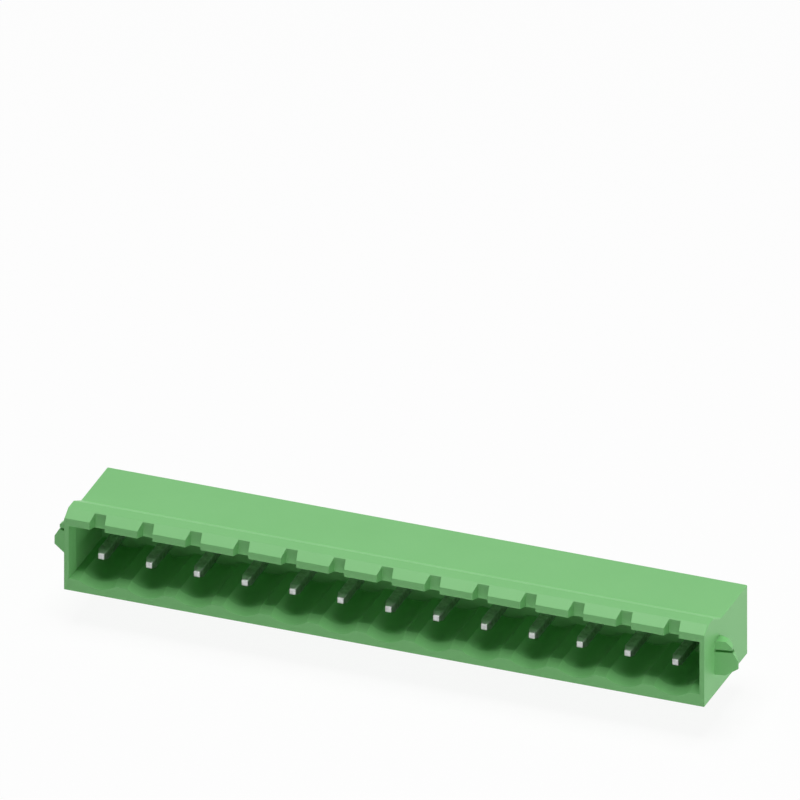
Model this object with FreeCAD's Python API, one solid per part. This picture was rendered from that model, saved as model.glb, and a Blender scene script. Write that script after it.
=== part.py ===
import FreeCAD, Part
import math
import os

# Board header of a pluggable terminal block: one moulded housing and a row of
# bent square pins. The plug goes in from the front, which faces -Y. X runs
# along the row, Z is up. The origin is on the board's top face, at the middle
# of the row of solder tails.

# Poles
POLE_COUNT = 13
PITCH = 5.08

# Pins
PIN_SIZE = 1.0
PIN_AXIS_HEIGHT = 3.8
PIN_TIP_SETBACK = 1.1
PIN_TAPER_LENGTH = 0.7
PIN_TIP_SIZE = 0.6
PIN_BEND_INNER_RADIUS = 0.3
TAIL_LENGTH = 3.9
TAIL_TAPER_LENGTH = 0.6
TAIL_TIP_SIZE = 0.5
PIN_CLEARANCE = 0.01

# Housing, as seen from the side
END_MARGIN = 3.5
HOUSING_DEPTH = 12.0
BODY_HEIGHT = 7.7
LIP_FRONT_HEIGHT = 8.03
LIP_TOP_HEIGHT = 8.72
LIP_TOP_SETBACK = 1.15
LIP_TOP_LENGTH = 1.4
LIP_RAMP_LENGTH = 2.1
EDGE_RADIUS = 0.12

# Mating cavity
CAVITY_DEPTH = 8.6
END_WALL = 0.8
TROUGH_RADIUS = 2.8
RIDGE_HEIGHT = 1.7
TOP_WALL = 0.7
LEAD_IN_DEPTH = 1.2
LEAD_IN_SIDE = 0.3
LEAD_IN_FLOOR = 0.38
LEAD_IN_CEILING = 0.24
TROUGH_LEAD_IN = 0.32
TROUGH_OVERLAP = 0.6

# Coding notches in the lip
NOTCH_FRONT_WIDTH = 1.62
NOTCH_REAR_WIDTH = 1.19
NOTCH_DEPTH = 1.0

# Slots at the back, open to the rear and to the board
TAIL_SETBACK = 10.5
SLOT_SIDE_GAP = 0.35
SLOT_FRONT_GAP = 0.1
SLOT_TOP_GAP = 0.3
SLOT_MOUTH_CHAMFER = 0.25

# Latch noses on the end walls: a block below, a smaller one above, and a
# narrow slot between them
NOSE_FRONT_SETBACK = 2.9
NOSE_LENGTH = 1.5
NOSE_FRONT_LEAN = 0.45
NOSE_FRONT_LAND = 0.2
NOSE_REACH = 2.3
NOSE_FOOT_REACH = 1.05
NOSE_FOOT_HEIGHT = 2.2
NOSE_BOTTOM_HEIGHT = 3.0
NOSE_SHOULDER_HEIGHT = 3.9
NOSE_BLOCK_REACH = 1.8
NOSE_BLOCK_HEIGHT = 4.75
NOSE_SLOT_HEIGHT = 0.27
NOSE_SLOT_DEPTH = 0.8
NOSE_CAP_REACH = 1.7
NOSE_TOP_HEIGHT = 5.95
NOSE_CAP_CHAMFER = 0.6
NOSE_ROOT_OVERLAP = 0.2

# Worked out from the values above
ROW_LENGTH = (POLE_COUNT - 1) * PITCH
HOUSING_WIDTH = ROW_LENGTH + 2 * END_MARGIN
HALF_WIDTH = HOUSING_WIDTH / 2
FRONT = -TAIL_SETBACK
REAR = FRONT + HOUSING_DEPTH
CAVITY_BACK = FRONT + CAVITY_DEPTH
RAMP_FOOT = FRONT + LIP_TOP_SETBACK + LIP_TOP_LENGTH + LIP_RAMP_LENGTH
CEILING_HEIGHT = BODY_HEIGHT - TOP_WALL

# Working values: how far a cutter runs past what it cuts, and how near two
# coordinates are taken as the same
OVERCUT = 1.0
SAME_PLACE = 0.01

X_AXIS = FreeCAD.Vector(1, 0, 0)
Y_AXIS = FreeCAD.Vector(0, 1, 0)
Z_AXIS = FreeCAD.Vector(0, 0, 1)


def pole_positions():
    return [i * PITCH - ROW_LENGTH / 2 for i in range(POLE_COUNT)]


def polygon_face(points):
    corners = [FreeCAD.Vector(*p) for p in points]
    return Part.Face(Part.makePolygon(corners + corners[:1]))


def side_prism(profile, x_low, x_high):
    """Extrudes a profile of (y, z) points along X."""
    face = polygon_face([(x_low, y, z) for y, z in profile])
    return face.extrude(X_AXIS * (x_high - x_low))


def plan_prism(outline, z_low, z_high):
    """Extrudes an outline of (x, y) points upwards."""
    face = polygon_face([(x, y, z_low) for x, y in outline])
    return face.extrude(Z_AXIS * (z_high - z_low))


def box(x_range, y_range, z_range):
    low = FreeCAD.Vector(x_range[0], y_range[0], z_range[0])
    size = [r[1] - r[0] for r in (x_range, y_range, z_range)]
    return Part.makeBox(size[0], size[1], size[2], low)


def cross_section(y, x_range, z_range):
    """A rectangular wire in a plane square to Y."""
    return Part.makePolygon([
        FreeCAD.Vector(x_range[0], y, z_range[0]),
        FreeCAD.Vector(x_range[1], y, z_range[0]),
        FreeCAD.Vector(x_range[1], y, z_range[1]),
        FreeCAD.Vector(x_range[0], y, z_range[1]),
        FreeCAD.Vector(x_range[0], y, z_range[0]),
    ])


def frustum(wire_a, wire_b):
    return Part.makeLoft([wire_a, wire_b], True, True)


def housing_block():
    """The outer form: flat top, ramp, and the raised flat lip at the front."""
    profile = [
        (FRONT, 0),
        (FRONT, LIP_FRONT_HEIGHT),
        (FRONT + LIP_TOP_SETBACK, LIP_TOP_HEIGHT),
        (RAMP_FOOT - LIP_RAMP_LENGTH, LIP_TOP_HEIGHT),
        (RAMP_FOOT, BODY_HEIGHT),
        (REAR, BODY_HEIGHT),
        (REAR, 0),
    ]
    block = side_prism(profile, -HALF_WIDTH, HALF_WIDTH)
    outer = [e for e in block.Edges if is_rounded_edge(e)]
    return block.makeFillet(EDGE_RADIUS, outer)


def is_rounded_edge(edge):
    """Edges that a mould leaves rounded: the top, the lip and the back."""
    span = edge.BoundBox
    at_front = span.YMax < FRONT + SAME_PLACE
    at_board = span.ZMax < SAME_PLACE
    at_ramp_foot = abs(span.YMin - RAMP_FOOT) + abs(span.YMax - RAMP_FOOT) < SAME_PLACE
    return not (at_front or at_board or at_ramp_foot)


def cavity_cutter():
    """The room for the plug, with its lead-in all round the mouth."""
    inner_x = HALF_WIDTH - END_WALL
    outer_x = inner_x + LEAD_IN_SIDE
    mouth_z = (RIDGE_HEIGHT - LEAD_IN_FLOOR, CEILING_HEIGHT + LEAD_IN_CEILING)
    inner_z = (RIDGE_HEIGHT, CEILING_HEIGHT)
    lead_back = FRONT + LEAD_IN_DEPTH
    room = box((-inner_x, inner_x), (FRONT, CAVITY_BACK), inner_z)
    lead = frustum(cross_section(FRONT, (-outer_x, outer_x), mouth_z),
                   cross_section(lead_back, (-inner_x, inner_x), inner_z))
    mouth = box((-outer_x, outer_x), (FRONT - OVERCUT, FRONT), mouth_z)
    return room.fuse([lead, mouth] + [trough_cutter(x) for x in pole_positions()])


def trough_cutter(x):
    """A round-bottomed channel about the pin's axis, wider at the mouth."""
    mouth_radius = TROUGH_RADIUS + TROUGH_LEAD_IN
    at_front = FreeCAD.Vector(x, FRONT, PIN_AXIS_HEIGHT)
    channel = Part.makeCylinder(TROUGH_RADIUS, CAVITY_DEPTH, at_front, Y_AXIS)
    lead = Part.makeCone(mouth_radius, TROUGH_RADIUS, LEAD_IN_DEPTH, at_front, Y_AXIS)
    before = Part.makeCylinder(mouth_radius, OVERCUT, at_front - Y_AXIS * OVERCUT, Y_AXIS)
    cutter = channel.fuse([lead, before])
    reach = mouth_radius + OVERCUT
    lower_part = box((x - reach, x + reach), (FRONT - OVERCUT, CAVITY_BACK),
                     (0, RIDGE_HEIGHT + TROUGH_OVERLAP))
    return cutter.common(lower_part)


def notch_cutter(x):
    """A coding notch through the lip, narrower at the back."""
    half_front = NOTCH_FRONT_WIDTH / 2
    half_rear = NOTCH_REAR_WIDTH / 2
    flare = (half_front - half_rear) * OVERCUT / NOTCH_DEPTH
    outline = [
        (x - half_front - flare, FRONT - OVERCUT),
        (x - half_rear, FRONT + NOTCH_DEPTH),
        (x + half_rear, FRONT + NOTCH_DEPTH),
        (x + half_front + flare, FRONT - OVERCUT),
    ]
    return plan_prism(outline, CEILING_HEIGHT - TOP_WALL, LIP_TOP_HEIGHT + OVERCUT)


def slot_cutter(x):
    """The slot for a pin's upright leg, and the hole that holds the pin."""
    half_leg = PIN_SIZE / 2
    half_slot = half_leg + SLOT_SIDE_GAP
    slot_front = -(half_leg + PIN_BEND_INNER_RADIUS + SLOT_FRONT_GAP)
    slot_top = PIN_AXIS_HEIGHT + half_leg + SLOT_TOP_GAP
    slot = box((x - half_slot, x + half_slot), (slot_front, REAR + OVERCUT), (-OVERCUT, slot_top))
    half_mouth = half_slot + SLOT_MOUTH_CHAMFER
    mouth = plan_prism([
        (x - half_slot, REAR - SLOT_MOUTH_CHAMFER),
        (x - half_mouth, REAR),
        (x - half_mouth, REAR + OVERCUT),
        (x + half_mouth, REAR + OVERCUT),
        (x + half_mouth, REAR),
        (x + half_slot, REAR - SLOT_MOUTH_CHAMFER),
    ], -OVERCUT, slot_top)
    half_hole = half_leg + PIN_CLEARANCE
    hole = box((x - half_hole, x + half_hole),
               (CAVITY_BACK - OVERCUT, slot_front + SLOT_FRONT_GAP),
               (PIN_AXIS_HEIGHT - half_hole, PIN_AXIS_HEIGHT + half_hole))
    return slot.fuse([mouth, hole])


def latch_nose(side):
    """A nose on an end wall: it leans back at its front and runs out to the rear."""
    def out(reach):
        return side * (HALF_WIDTH + reach)

    front = FRONT + NOSE_FRONT_SETBACK
    back = front + NOSE_LENGTH
    wall = out(-NOSE_ROOT_OVERLAP)
    profile = [
        (wall, NOSE_FOOT_HEIGHT),
        (out(NOSE_FOOT_REACH), NOSE_FOOT_HEIGHT),
        (out(NOSE_REACH), NOSE_BOTTOM_HEIGHT),
        (out(NOSE_REACH), NOSE_SHOULDER_HEIGHT),
        (out(NOSE_BLOCK_REACH), NOSE_BLOCK_HEIGHT),
        (out(NOSE_CAP_REACH), NOSE_BLOCK_HEIGHT + NOSE_SLOT_HEIGHT),
        (out(NOSE_CAP_REACH), NOSE_TOP_HEIGHT - NOSE_CAP_CHAMFER),
        (out(NOSE_CAP_REACH - NOSE_CAP_CHAMFER), NOSE_TOP_HEIGHT),
        (wall, NOSE_TOP_HEIGHT),
    ]
    block = polygon_face([(x, front, z) for x, z in profile]).extrude(Y_AXIS * NOSE_LENGTH)
    crest = front + NOSE_FRONT_LEAN
    outline = [
        (wall, front),
        (out(0), front),
        (out(NOSE_REACH), crest),
        (out(NOSE_REACH), crest + NOSE_FRONT_LAND),
        (out(0), back),
        (wall, back),
    ]
    slot_x = sorted((out(0), out(NOSE_REACH + OVERCUT)))
    slot_z = (NOSE_BLOCK_HEIGHT, NOSE_BLOCK_HEIGHT + NOSE_SLOT_HEIGHT)
    slot = box(slot_x, (front - OVERCUT, front + NOSE_SLOT_DEPTH), slot_z)
    return block.common(plan_prism(outline, 0, BODY_HEIGHT)).cut(slot)


def make_housing():
    body = housing_block().fuse([latch_nose(-1), latch_nose(1)])
    cutters = [cavity_cutter()]
    for x in pole_positions():
        cutters += [notch_cutter(x), slot_cutter(x)]
    return body.cut(cutters).removeSplitter()


def make_pin(x):
    """A square pin, bent once, with a tapered contact tip and solder tail."""
    half = PIN_SIZE / 2
    low = PIN_AXIS_HEIGHT - half
    high = PIN_AXIS_HEIGHT + half
    inner = PIN_BEND_INNER_RADIUS
    outer = inner + PIN_SIZE
    centre_y = -half - inner
    centre_z = low - inner
    taper_end = FRONT + PIN_TIP_SETBACK + PIN_TAPER_LENGTH
    tail_start = -TAIL_LENGTH + TAIL_TAPER_LENGTH

    def at(y, z):
        return FreeCAD.Vector(x - half, y, z)

    def on_bend(radius):
        offset = radius * math.sqrt(0.5)
        return at(centre_y + offset, centre_z + offset)

    bent_outline = Part.Wire([
        Part.makeLine(at(taper_end, high), at(centre_y, high)),
        Part.Arc(at(centre_y, high), on_bend(outer), at(half, centre_z)).toShape(),
        Part.makeLine(at(half, centre_z), at(half, tail_start)),
        Part.makeLine(at(half, tail_start), at(-half, tail_start)),
        Part.makeLine(at(-half, tail_start), at(-half, centre_z)),
        Part.Arc(at(-half, centre_z), on_bend(inner), at(centre_y, low)).toShape(),
        Part.makeLine(at(centre_y, low), at(taper_end, low)),
        Part.makeLine(at(taper_end, low), at(taper_end, high)),
    ])
    shank = Part.Face(bent_outline).extrude(X_AXIS * PIN_SIZE)
    return shank.fuse([contact_taper(x, taper_end), tail_taper(x, tail_start)]).removeSplitter()


def contact_taper(x, taper_end):
    half = PIN_SIZE / 2
    half_tip = PIN_TIP_SIZE / 2
    tip = cross_section(taper_end - PIN_TAPER_LENGTH, (x - half_tip, x + half_tip),
                        (PIN_AXIS_HEIGHT - half_tip, PIN_AXIS_HEIGHT + half_tip))
    root = cross_section(taper_end, (x - half, x + half),
                         (PIN_AXIS_HEIGHT - half, PIN_AXIS_HEIGHT + half))
    return frustum(tip, root)


def tail_taper(x, tail_start):
    half = PIN_SIZE / 2
    half_tip = TAIL_TIP_SIZE / 2

    def level_square(z, reach):
        corners = [(-1, -1), (1, -1), (1, 1), (-1, 1), (-1, -1)]
        return Part.makePolygon([FreeCAD.Vector(x + i * reach, j * reach, z) for i, j in corners])

    return frustum(level_square(tail_start, half), level_square(-TAIL_LENGTH, half_tip))


def main():
    os.makedirs("parts", exist_ok=True)
    make_housing().exportStep("parts/housing.step")
    for number, x in enumerate(pole_positions(), start=1):
        make_pin(x).exportStep("parts/contact_pin_%02d.step" % number)


main()
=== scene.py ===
import math

import bpy
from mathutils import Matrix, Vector


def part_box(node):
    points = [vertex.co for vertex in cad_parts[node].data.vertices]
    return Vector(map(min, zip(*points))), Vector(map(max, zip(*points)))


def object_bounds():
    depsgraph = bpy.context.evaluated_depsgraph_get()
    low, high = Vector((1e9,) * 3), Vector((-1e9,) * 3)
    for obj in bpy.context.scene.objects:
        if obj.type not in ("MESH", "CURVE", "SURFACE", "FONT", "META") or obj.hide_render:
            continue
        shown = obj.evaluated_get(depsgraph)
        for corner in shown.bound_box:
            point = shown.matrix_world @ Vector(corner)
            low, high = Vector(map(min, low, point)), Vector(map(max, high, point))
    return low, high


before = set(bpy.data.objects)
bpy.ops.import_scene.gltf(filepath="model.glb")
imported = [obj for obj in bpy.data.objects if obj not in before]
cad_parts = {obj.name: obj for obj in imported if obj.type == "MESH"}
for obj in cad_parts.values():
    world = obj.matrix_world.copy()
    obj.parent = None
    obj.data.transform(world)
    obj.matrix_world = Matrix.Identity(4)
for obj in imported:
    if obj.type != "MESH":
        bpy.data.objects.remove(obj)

# Board header of a pluggable terminal block, in metres. The fixed frame brings
# the housing and the pins; this script gives them their materials, the studio
# and the camera.

MM = 0.001
CAD_LOW, CAD_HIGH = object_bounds()

# Camera: a parallel view from the right and above
IMAGE_SIDE = 800
PIXELS_PER_MM = 10.089
VIEW_AZIMUTH = 21.0
VIEW_ELEVATION = 28.66
CAMERA_DISTANCE = 0.4

# The housing's lower right corner at the front is seen at this pixel. It lies
# END_MARGIN past the last pin, because the housing's own box ends at its nose.
ANCHOR_PIXEL = (704.15, 707.05)
END_MARGIN = 3.5 * MM

# Colours, linear
GREEN = (0.205, 0.560, 0.195, 1.0)
GREEN_DEEP = (0.195, 0.545, 0.185, 1.0)
TIN = (0.64, 0.66, 0.645, 1.0)
TIN_DULL = (0.43, 0.445, 0.435, 1.0)
FLOOR_PALE = (0.94, 0.94, 0.94, 1.0)
WHITE = (1.0, 1.0, 1.0, 1.0)

# How many samples soften a material's edges
EDGE_SAMPLES = 6

# Most of a noise's values lie between these two
NOISE_LOW = 0.3
NOISE_HIGH = 0.7

# The Mix node has a socket of each name for each kind of data. These are the
# places of the factor and of the two colours going in, and of the one coming out.
MIX_FACTOR = 0
MIX_COLOUR_A = 6
MIX_COLOUR_B = 7
MIX_COLOUR_OUT = 2

# Floor and sky. Where the floor is seen directly, this share of its colour is
# plain white; the rest takes the light, and so keeps the object's shadow.
FLOOR_SIZE = 3.0
SEEN_WHITE_SHARE = 0.92
SKY_STRENGTH = 0.05

# Each softbox has a place from the object's middle, a width, a height and a
# power in watts
SOFTBOXES = {
    "top": ((0.0, -0.015, 0.60), 0.34, 0.34, 3.02),
    "right": ((0.200, -0.020, 0.025), 0.12, 0.05, 0.076),
    "front": ((0.120, -0.200, 0.014), 0.20, 0.03, 0.026),
    "left": ((-0.200, 0.030, 0.012), 0.12, 0.02, 0.060),
    "rear": ((0.130, 0.210, 0.010), 0.16, 0.016, 0.048),
}


class Shader:
    """The node tree of a material or world, with short calls for its nodes."""

    def __init__(self, owner):
        owner.use_nodes = True
        self.owner = owner
        self.tree = owner.node_tree
        self.tree.nodes.clear()

    def add(self, kind, settings=None, **values):
        """Adds a node. Values go to its sockets, with _ for a space."""
        node = self.tree.nodes.new("ShaderNode" + kind)
        for key, value in (settings or {}).items():
            setattr(node, key, value)
        for key, value in values.items():
            node.inputs[key.replace("_", " ")].default_value = value
        return node

    def join(self, source, target):
        self.tree.links.new(source, target)

    def finish(self, surface, output="OutputMaterial"):
        """Sends the surface to the output, and gives back the owner."""
        self.join(surface, self.add(output).inputs["Surface"])
        return self.owner


def new_shader(name):
    return Shader(bpy.data.materials.new(name))


def noise(shader, size_mm, detail):
    """Solid noise in object space, with features of about size_mm."""
    place = shader.add("TexCoord")
    cloud = shader.add("TexNoise", Scale=1 / (size_mm * MM), Detail=detail)
    shader.join(place.outputs["Object"], cloud.inputs["Vector"])
    return cloud.outputs["Fac"]


def spread(shader, cloud, low, high):
    """Maps a noise to a range of values."""
    ramp = shader.add("MapRange", From_Min=NOISE_LOW, From_Max=NOISE_HIGH, To_Min=low, To_Max=high)
    shader.join(cloud, ramp.inputs["Value"])
    return ramp.outputs["Result"]


def two_colours(shader, cloud, colour_a, colour_b):
    """Goes from one colour to the other as the noise rises."""
    mix = shader.add("Mix", {"data_type": "RGBA"})
    mix.inputs[MIX_COLOUR_A].default_value = colour_a
    mix.inputs[MIX_COLOUR_B].default_value = colour_b
    shader.join(spread(shader, cloud, low=0.0, high=1.0), mix.inputs[MIX_FACTOR])
    return mix.outputs[MIX_COLOUR_OUT]


def relief(shader, body, grain, edge_mm, depth_mm, strength):
    """Softens the edges over edge_mm, and gives the surface its grain."""
    edge = shader.add("Bevel", {"samples": EDGE_SAMPLES}, Radius=edge_mm * MM)
    bump = shader.add("Bump", Strength=strength, Distance=depth_mm * MM)
    shader.join(grain, bump.inputs["Height"])
    shader.join(edge.outputs["Normal"], bump.inputs["Normal"])
    shader.join(bump.outputs["Normal"], body.inputs["Normal"])


def polyamide():
    """Green moulded polyamide: smooth and satin, with a faint flow mottle."""
    shader = new_shader("green_polyamide")
    body = shader.add("BsdfPrincipled", IOR=1.53, Specular_IOR_Level=0.36)
    flow = noise(shader, size_mm=6.0, detail=3.0)
    grain = noise(shader, size_mm=0.12, detail=2.0)
    shader.join(two_colours(shader, flow, GREEN, GREEN_DEEP), body.inputs["Base Color"])
    shader.join(spread(shader, grain, low=0.40, high=0.50), body.inputs["Roughness"])
    relief(shader, body, grain, edge_mm=0.09, depth_mm=0.02, strength=0.10)
    return shader.finish(body.outputs["BSDF"])


def tin_plate():
    """Tinned contact metal: bright, with duller patches."""
    shader = new_shader("tin_plate")
    body = shader.add("BsdfPrincipled", Metallic=1.0)
    patches = noise(shader, size_mm=0.45, detail=3.0)
    grain = noise(shader, size_mm=0.05, detail=2.0)
    shader.join(two_colours(shader, patches, TIN, TIN_DULL), body.inputs["Base Color"])
    shader.join(spread(shader, patches, low=0.32, high=0.42), body.inputs["Roughness"])
    relief(shader, body, grain, edge_mm=0.24, depth_mm=0.01, strength=0.05)
    return shader.finish(body.outputs["BSDF"])


def dress(node, material):
    """Gives a CAD node its material."""
    for slot in node.material_slots:
        slot.material = material


def seen_directly(shader):
    """1 for rays that show the background: from the camera, a gloss or glass."""
    path = shader.add("LightPath")
    total = path.outputs["Is Camera Ray"]
    for name in ("Is Glossy Ray", "Is Transmission Ray"):
        both = shader.add("Math", {"operation": "MAXIMUM"})
        shader.join(total, both.inputs[0])
        shader.join(path.outputs[name], both.inputs[1])
        total = both.outputs["Value"]
    return total


def studio_floor():
    """A pale floor under the tails, which keeps the object's soft shadow."""
    bpy.ops.mesh.primitive_plane_add(size=FLOOR_SIZE, location=(0, 0, CAD_LOW.z))
    floor = bpy.context.object
    floor.name = "studio_floor"
    shader = new_shader("studio_floor")
    matte = shader.add("BsdfDiffuse", Color=FLOOR_PALE)
    glow = shader.add("Emission", Color=WHITE, Strength=1.0)
    share = shader.add("Math", {"operation": "MULTIPLY"})
    share.inputs[1].default_value = SEEN_WHITE_SHARE
    mix = shader.add("MixShader")
    shader.join(seen_directly(shader), share.inputs[0])
    shader.join(share.outputs["Value"], mix.inputs["Fac"])
    shader.join(matte.outputs["BSDF"], mix.inputs[1])
    shader.join(glow.outputs["Emission"], mix.inputs[2])
    floor.data.materials.append(shader.finish(mix.outputs["Shader"]))


def studio_sky():
    """A soft even sky, white where it is seen directly."""
    world = bpy.data.worlds.new("studio_sky")
    bpy.context.scene.world = world
    shader = Shader(world)
    sky = shader.add("Background", Color=WHITE)
    level = shader.add("MapRange", To_Min=SKY_STRENGTH, To_Max=1.0)
    shader.join(seen_directly(shader), level.inputs["Value"])
    shader.join(level.outputs["Result"], sky.inputs["Strength"])
    shader.finish(sky.outputs["Background"], "OutputWorld")


def softbox(name, place, width, height, power):
    """A rectangular area light that looks at the object's middle."""
    place = Vector(place)
    light = bpy.data.lights.new(name, "AREA")
    light.shape = "RECTANGLE"
    light.size = width
    light.size_y = height
    light.energy = power
    lamp = bpy.data.objects.new(name, light)
    lamp.location = (CAD_LOW + CAD_HIGH) / 2 + place
    lamp.rotation_euler = place.to_track_quat("Z", "Y").to_euler()
    bpy.context.collection.objects.link(lamp)


def camera():
    """Places a parallel camera so that the anchor falls on its pixel."""
    azimuth = math.radians(VIEW_AZIMUTH)
    elevation = math.radians(VIEW_ELEVATION)
    back = Vector((math.sin(azimuth) * math.cos(elevation),
                   -math.cos(azimuth) * math.cos(elevation),
                   math.sin(elevation)))
    right = Vector((math.cos(azimuth), math.sin(azimuth), 0))
    up = back.cross(right)
    last_low, last_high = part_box("contact_pin_13")
    front_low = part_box("housing")[0]
    anchor = Vector(((last_low.x + last_high.x) / 2 + END_MARGIN, front_low.y, front_low.z))
    from_centre_x = (ANCHOR_PIXEL[0] - IMAGE_SIDE / 2) / PIXELS_PER_MM * MM
    from_centre_y = (IMAGE_SIDE / 2 - ANCHOR_PIXEL[1]) / PIXELS_PER_MM * MM
    target = anchor - right * from_centre_x - up * from_centre_y
    data = bpy.data.cameras.new("camera")
    data.type = "ORTHO"
    data.ortho_scale = IMAGE_SIDE / PIXELS_PER_MM * MM
    view = bpy.data.objects.new("camera", data)
    view.location = target + back * CAMERA_DISTANCE
    view.rotation_euler = back.to_track_quat("Z", "Y").to_euler()
    bpy.context.collection.objects.link(view)
    bpy.context.scene.camera = view


plastic = polyamide()
metal = tin_plate()
for name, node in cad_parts.items():
    dress(node, plastic if name == "housing" else metal)

studio_floor()
studio_sky()
for name, values in SOFTBOXES.items():
    softbox("softbox_" + name, *values)
camera()

bpy.context.scene.view_settings.view_transform = "Standard"
